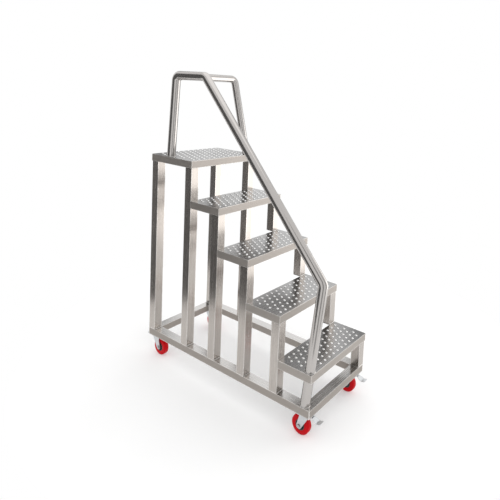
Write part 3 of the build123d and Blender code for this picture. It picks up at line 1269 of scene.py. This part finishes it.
bm = bmesh.new()
bmesh.ops.create_circle(bm, cap_ends=True, segments=96, radius=FLOOR_RADIUS)
bmesh.ops.translate(bm, vec=FLOOR_CENTRE, verts=bm.verts)
floor_mesh = bpy.data.meshes.new("floor")
bm.to_mesh(floor_mesh)
bm.free()
floor = place_object("floor", floor_mesh)
paper, tree, bsdf = start_material("floor_paper")
speck = add_noise(tree, object_coordinates(tree), 3.0)
tree.links.new(add_mix(tree, speck, PAPER_DARK, PAPER_LIGHT), bsdf.inputs["Base Color"])
bsdf.inputs["Emission Color"].default_value = WHITE
bsdf.inputs["Emission Strength"].default_value = FLOOR_GLOW
bsdf.inputs["Roughness"].default_value = 0.9
bsdf.inputs["Specular IOR Level"].default_value = 0.1
floor_mesh.materials.append(paper)

world = bpy.data.worlds.new("studio")
bpy.context.scene.world = world
world.use_nodes = True
background = world.node_tree.nodes["Background"]
background.inputs["Color"].default_value = WHITE
background.inputs["Strength"].default_value = 1.0
print("floor", 2 * FLOOR_RADIUS, "m across, world strength", background.inputs["Strength"].default_value)

# %% [markdown]
# ## Flags
# In plain white, polished steel has nothing dark to mirror and turns flat. A photographer stands grey
# cards round it, called flags, and each one gives the metal a darker band. These are hidden from the
# camera and from diffuse light and cast no shadow, so only reflections show them. The floor is a disc, and
# past its rim steel also mirrors what is lower than the floor, so the flags reach down there. For a bare
# studio, delete the flag() calls.

# %% Flags
FLAG_DISTANCE = 3.2
FLAG_BOTTOM = -2.5
FLAG_TOP = 3.4


def flag(name, bearing, width, tone):
    """An upright grey card that steel mirrors. Its bearing is in degrees from +X towards +Y."""
    turn = Matrix.Rotation(math.radians(bearing), 4, "Z")
    edge = width / 2
    outline = ((-edge, FLAG_BOTTOM), (edge, FLAG_BOTTOM), (edge, FLAG_TOP), (-edge, FLAG_TOP))
    mesh = bpy.data.meshes.new(name)
    points = [turn @ Vector((FLAG_DISTANCE, y, z)) for y, z in outline]
    mesh.from_pydata(points, [], [(0, 3, 2, 1)])
    card, card_tree, card_bsdf = start_material(name + "_paint")
    card_bsdf.inputs["Base Color"].default_value = (tone, tone, tone, 1.0)
    card_bsdf.inputs["Roughness"].default_value = 1.0
    card_bsdf.inputs["Specular IOR Level"].default_value = 0.0
    mesh.materials.append(card)
    obj = place_object(name, mesh)
    obj.visible_camera = False
    obj.visible_diffuse = False
    obj.visible_shadow = False
    print(name, width, "m wide at", bearing, "degrees, tone", tone)


flag("flag_left", 146.0, 4.0, 0.13)
flag("flag_camera", -134.0, 1.1, 0.34)
flag("flag_rear", 67.0, 0.8, 0.34)
flag("flag_right", 13.0, 0.8, 0.28)
flag("flag_front", -80.0, 0.7, 0.28)

# %% [markdown]
# ## Lamps
# In the photo the front faces are bright and a little warm, the faces to the left are darker, and the
# shadows are soft. A tall lamp at the front right lights the fronts of the posts and treads. A wide one
# above lights the platform and the treads. A sun would be simpler, but its shadows are hard.

# %% Lamps


def area_light(name, place, target, size, power, colour):
    data = bpy.data.lights.new(name, "AREA")
    data.shape = "RECTANGLE"
    data.size, data.size_y = size
    data.energy = power
    data.color = colour
    obj = bpy.data.objects.new(name, data)
    obj.location = place
    obj.rotation_euler = (Vector(target) - Vector(place)).to_track_quat("-Z", "Y").to_euler()
    bpy.context.scene.collection.objects.link(obj)
    print(name, power, "W,", size, "m")


area_light("key_front", (3.4, -2.6, 0.5), (0.0, 0.0, 0.6), (2.6, 4.6), 56.0, (1.0, 0.97, 0.94))
area_light("top_soft", (0.2, 0.2, 4.2), (0.0, 0.0, 0.0), (3.6, 3.6), 20.0, (1.0, 1.0, 1.0))

# %% [markdown]
# ## Camera
# A camera placed by eye would leave the edges off. This one was fitted to points of the photo by least
# squares, which gives its place, its two directions, its lens and the shift of its picture. The shift
# stands for the crop of a wider picture.

# %% Camera
CAMERA_PLACE = Vector((-1.9323, -1.7438, 1.6402))
CAMERA_FORWARD = Vector((0.82503, 0.55729, -0.09355))
CAMERA_UP = Vector((0.04598, 0.09879, 0.99405))

forward = CAMERA_FORWARD.normalized()
right = forward.cross(CAMERA_UP.normalized()).normalized()
up = right.cross(forward)
camera_data = bpy.data.cameras.new("photo_view")
camera_data.sensor_width = 36.0
camera_data.lens = 33.824
camera_data.shift_x = -0.1518
camera_data.shift_y = -0.2315
camera = bpy.data.objects.new("photo_view", camera_data)
camera.matrix_world = Matrix((
    (right.x, up.x, -forward.x, CAMERA_PLACE.x),
    (right.y, up.y, -forward.y, CAMERA_PLACE.y),
    (right.z, up.z, -forward.z, CAMERA_PLACE.z),
    (0, 0, 0, 1),
))
bpy.context.scene.collection.objects.link(camera)
bpy.context.scene.camera = camera
bpy.context.scene.view_settings.view_transform = "Standard"
print("camera", round(CAMERA_PLACE.length, 3), "m from the origin, lens", round(camera_data.lens, 3), "mm")
